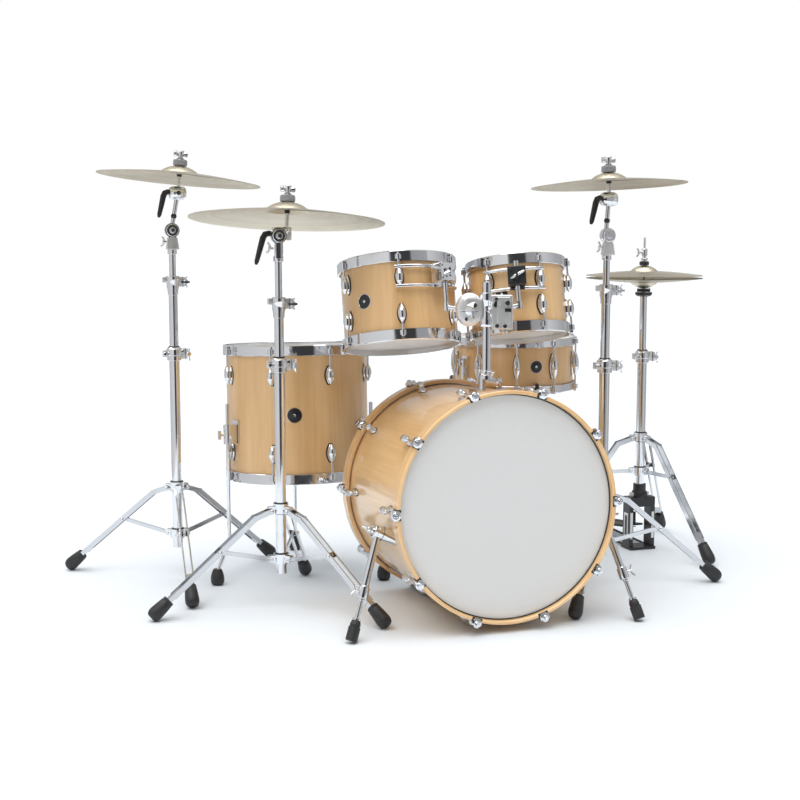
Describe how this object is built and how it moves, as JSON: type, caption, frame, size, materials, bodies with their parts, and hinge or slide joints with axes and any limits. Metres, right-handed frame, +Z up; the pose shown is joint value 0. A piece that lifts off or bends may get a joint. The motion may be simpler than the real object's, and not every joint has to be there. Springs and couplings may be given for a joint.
{
  "type": "drum kit",
  "caption": "Acoustic drum kit in clear-lacquered maple: bass drum with rack toms, floor tom, snare on its stand, hi-hat and cymbals on tripod stands.",
  "frame": {"origin": "on the floor under the middle of the whole kit's box", "axes": "+Z up, +X across the kit towards the hi-hat, +Y from the audience towards the player"},
  "size_m": [1.9607, 1.101, 1.2201],
  "materials": {
    "maple_shell": "clear gloss lacquer over maple",
    "maple_hoop": "clear gloss lacquer over maple",
    "drumhead": "coated white film",
    "chrome": "polished",
    "wire_steel": "satin",
    "cymbal_bronze": "satin, finely lathed",
    "black_metal": "satin black",
    "rubber": "matt"
  },
  "bodies": {
    "kit_base": {"bass_shell": "maple_shell", "bass_hoop_front": "maple_hoop", "bass_hoop_rear": "maple_hoop", "bass_heads": "drumhead", "bass_lugs": "chrome", "bass_claws": "chrome", "bass_tension_rods": "chrome", "spur_brackets": "chrome", "tom_post_bracket": "chrome", "floor_tom_legs": "chrome", "stand_tubes": "chrome", "stand_clamps": "chrome", "tripod_collars": "chrome", "tripod_legs": "chrome", "tripod_braces": "chrome", "rubber_feet": "rubber", "hi_hat_pedal_frame": "black_metal"},
    "spur_left": {"spur_left": "chrome"},
    "spur_right": {"spur_right": "chrome"},
    "floor_tom": {"floor_tom_shell": "maple_shell", "floor_tom_hoops": "chrome", "floor_tom_heads": "drumhead", "floor_tom_lugs": "chrome", "floor_tom_leg_brackets": "chrome"},
    "tom_post": {"tom_post": "chrome"},
    "tom_arm_left": {"tom_arm_left": "chrome"},
    "tom_arm_right": {"tom_arm_right": "chrome"},
    "tom_left": {"tom_left_shell": "maple_shell", "tom_left_hoops": "chrome", "tom_left_heads": "drumhead", "tom_left_lugs": "chrome", "tom_left_mount": "chrome"},
    "tom_right": {"tom_right_shell": "maple_shell", "tom_right_hoops": "chrome", "tom_right_heads": "drumhead", "tom_right_lugs": "chrome", "tom_right_mount": "chrome"},
    "snare_stand_column": {"snare_stand_column": "chrome"},
    "snare_drum": {"snare_basket": "chrome", "snare_shell": "maple_shell", "snare_hoops": "chrome", "snare_heads": "drumhead", "snare_lugs": "chrome", "snare_wires": "wire_steel", "snare_strainer": "chrome"},
    "snare_lever": {"snare_lever": "chrome"},
    "left_crash_column": {"left_crash_column": "chrome"},
    "left_crash_tilter": {"left_crash_tilter": "chrome"},
    "left_crash_cymbal": {"left_crash_cymbal": "cymbal_bronze"},
    "ride_column": {"ride_column": "chrome"},
    "ride_tilter": {"ride_tilter": "chrome"},
    "ride_cymbal": {"ride_cymbal": "cymbal_bronze"},
    "right_crash_column": {"right_crash_column": "chrome"},
    "right_crash_tilter": {"right_crash_tilter": "chrome"},
    "right_crash_cymbal": {"right_crash_cymbal": "cymbal_bronze"},
    "hi_hat_column": {"hi_hat_column": "chrome", "hi_hat_bottom_cymbal": "cymbal_bronze"},
    "hi_hat_top": {"hi_hat_top_cymbal": "cymbal_bronze", "hi_hat_rod": "chrome"},
    "hi_hat_footboard": {"hi_hat_footboard": "black_metal"}
  },
  "joints": [
    {"name": "spur_left_fold", "type": "hinge", "parent": "kit_base", "child": "spur_left", "pos_m": [-0.27975, -0.4126, 0.251], "axis": [-0.9324, 0, 0.3615], "range_deg": [0, 60]},
    {"name": "spur_right_fold", "type": "hinge", "parent": "kit_base", "child": "spur_right", "pos_m": [0.33225, -0.4126, 0.251], "axis": [-0.9801, 0, -0.1986], "range_deg": [0, 60]},
    {"name": "floor_tom_height", "type": "slide", "parent": "kit_base", "child": "floor_tom", "axis": [0, 0, 1], "range_m": [-0.1, 0.05]},
    {"name": "tom_post_height", "type": "slide", "parent": "kit_base", "child": "tom_post", "axis": [0, 0, 1], "range_m": [0, 0.06]},
    {"name": "tom_left_tilt", "type": "hinge", "parent": "tom_post", "child": "tom_arm_left", "pos_m": [-0.01575, -0.3426, 0.795], "axis": [1, 0, 0], "range_deg": [-8, 8]},
    {"name": "tom_right_tilt", "type": "hinge", "parent": "tom_post", "child": "tom_arm_right", "pos_m": [0.06825, -0.3486, 0.795], "axis": [1, 0, 0], "range_deg": [-8, 8]},
    {"name": "tom_left_swing", "type": "hinge", "parent": "tom_arm_left", "child": "tom_left", "pos_m": [-0.05603, -0.28489, 0.79888], "axis": [0, 0.225, 0.9744], "range_deg": [0, 15]},
    {"name": "tom_right_swing", "type": "hinge", "parent": "tom_arm_right", "child": "tom_right", "pos_m": [0.11944, -0.34386, 0.80467], "axis": [0, 0.2164, 0.9763], "range_deg": [-12, 0]},
    {"name": "snare_height", "type": "slide", "parent": "kit_base", "child": "snare_stand_column", "axis": [0, 0, 1], "range_m": [-0.05, 0.06]},
    {"name": "snare_tilt", "type": "hinge", "parent": "snare_stand_column", "child": "snare_drum", "pos_m": [0.34825, 0.2374, 0.44], "axis": [1, 0, 0], "range_deg": [-10, 10]},
    {"name": "snare_throw_off", "type": "hinge", "parent": "snare_drum", "child": "snare_lever", "pos_m": [0.16369, 0.18448, 0.61], "axis": [-0.2756, 0.9613, 0], "range_deg": [0, 70]},
    {"name": "left_crash_height", "type": "slide", "parent": "kit_base", "child": "left_crash_column", "axis": [0, 0, 1], "range_m": [-0.1, 0.15]},
    {"name": "left_crash_tilt", "type": "hinge", "parent": "left_crash_column", "child": "left_crash_tilter", "pos_m": [-0.67375, 0.2764, 0.995], "axis": [0, 1, 0], "range_deg": [-20, 20]},
    {"name": "left_crash_spin", "type": "hinge", "parent": "left_crash_tilter", "child": "left_crash_cymbal", "pos_m": [-0.64975, 0.2844, 1.136], "axis": [0.0941, 0.0175, 0.9954], "continuous": true},
    {"name": "ride_height", "type": "slide", "parent": "kit_base", "child": "ride_column", "axis": [0, 0, 1], "range_m": [-0.03, 0.09]},
    {"name": "ride_tilt", "type": "hinge", "parent": "ride_column", "child": "ride_tilter", "pos_m": [-0.46075, -0.1236, 0.981], "axis": [0, 1, 0], "range_deg": [-12, 12]},
    {"name": "ride_spin", "type": "hinge", "parent": "ride_tilter", "child": "ride_cymbal", "pos_m": [-0.43475, -0.1156, 1.02], "axis": [0.0591, 0.0872, 0.9944], "continuous": true},
    {"name": "right_crash_height", "type": "slide", "parent": "kit_base", "child": "right_crash_column", "axis": [0, 0, 1], "range_m": [-0.1, 0.15]},
    {"name": "right_crash_tilt", "type": "hinge", "parent": "right_crash_column", "child": "right_crash_tilter", "pos_m": [0.43625, -0.2006, 0.981], "axis": [0, 1, 0], "range_deg": [-20, 20]},
    {"name": "right_crash_spin", "type": "hinge", "parent": "right_crash_tilter", "child": "right_crash_cymbal", "pos_m": [0.44325, -0.1926, 1.116], "axis": [-0.0227, 0.0436, 0.9988], "continuous": true},
    {"name": "hi_hat_height", "type": "slide", "parent": "kit_base", "child": "hi_hat_column", "axis": [0, 0, 1], "range_m": [-0.03, 0.06]},
    {"name": "hi_hat_clutch", "type": "slide", "parent": "hi_hat_column", "child": "hi_hat_top", "axis": [0, 0, 1], "range_m": [-0.006, 0], "stiffness_N_per_m": 2000, "springref_m": 0.018},
    {"name": "hi_hat_pedal", "type": "hinge", "parent": "kit_base", "child": "hi_hat_footboard", "pos_m": [0.76625, 0.4924, 0.03], "axis": [1, 0, 0], "range_deg": [0, 1.4]}
  ],
  "couplings": [
    {"joint": "hi_hat_pedal", "follows": "hi_hat_clutch", "rad_per_m": -3.8}
  ]
}
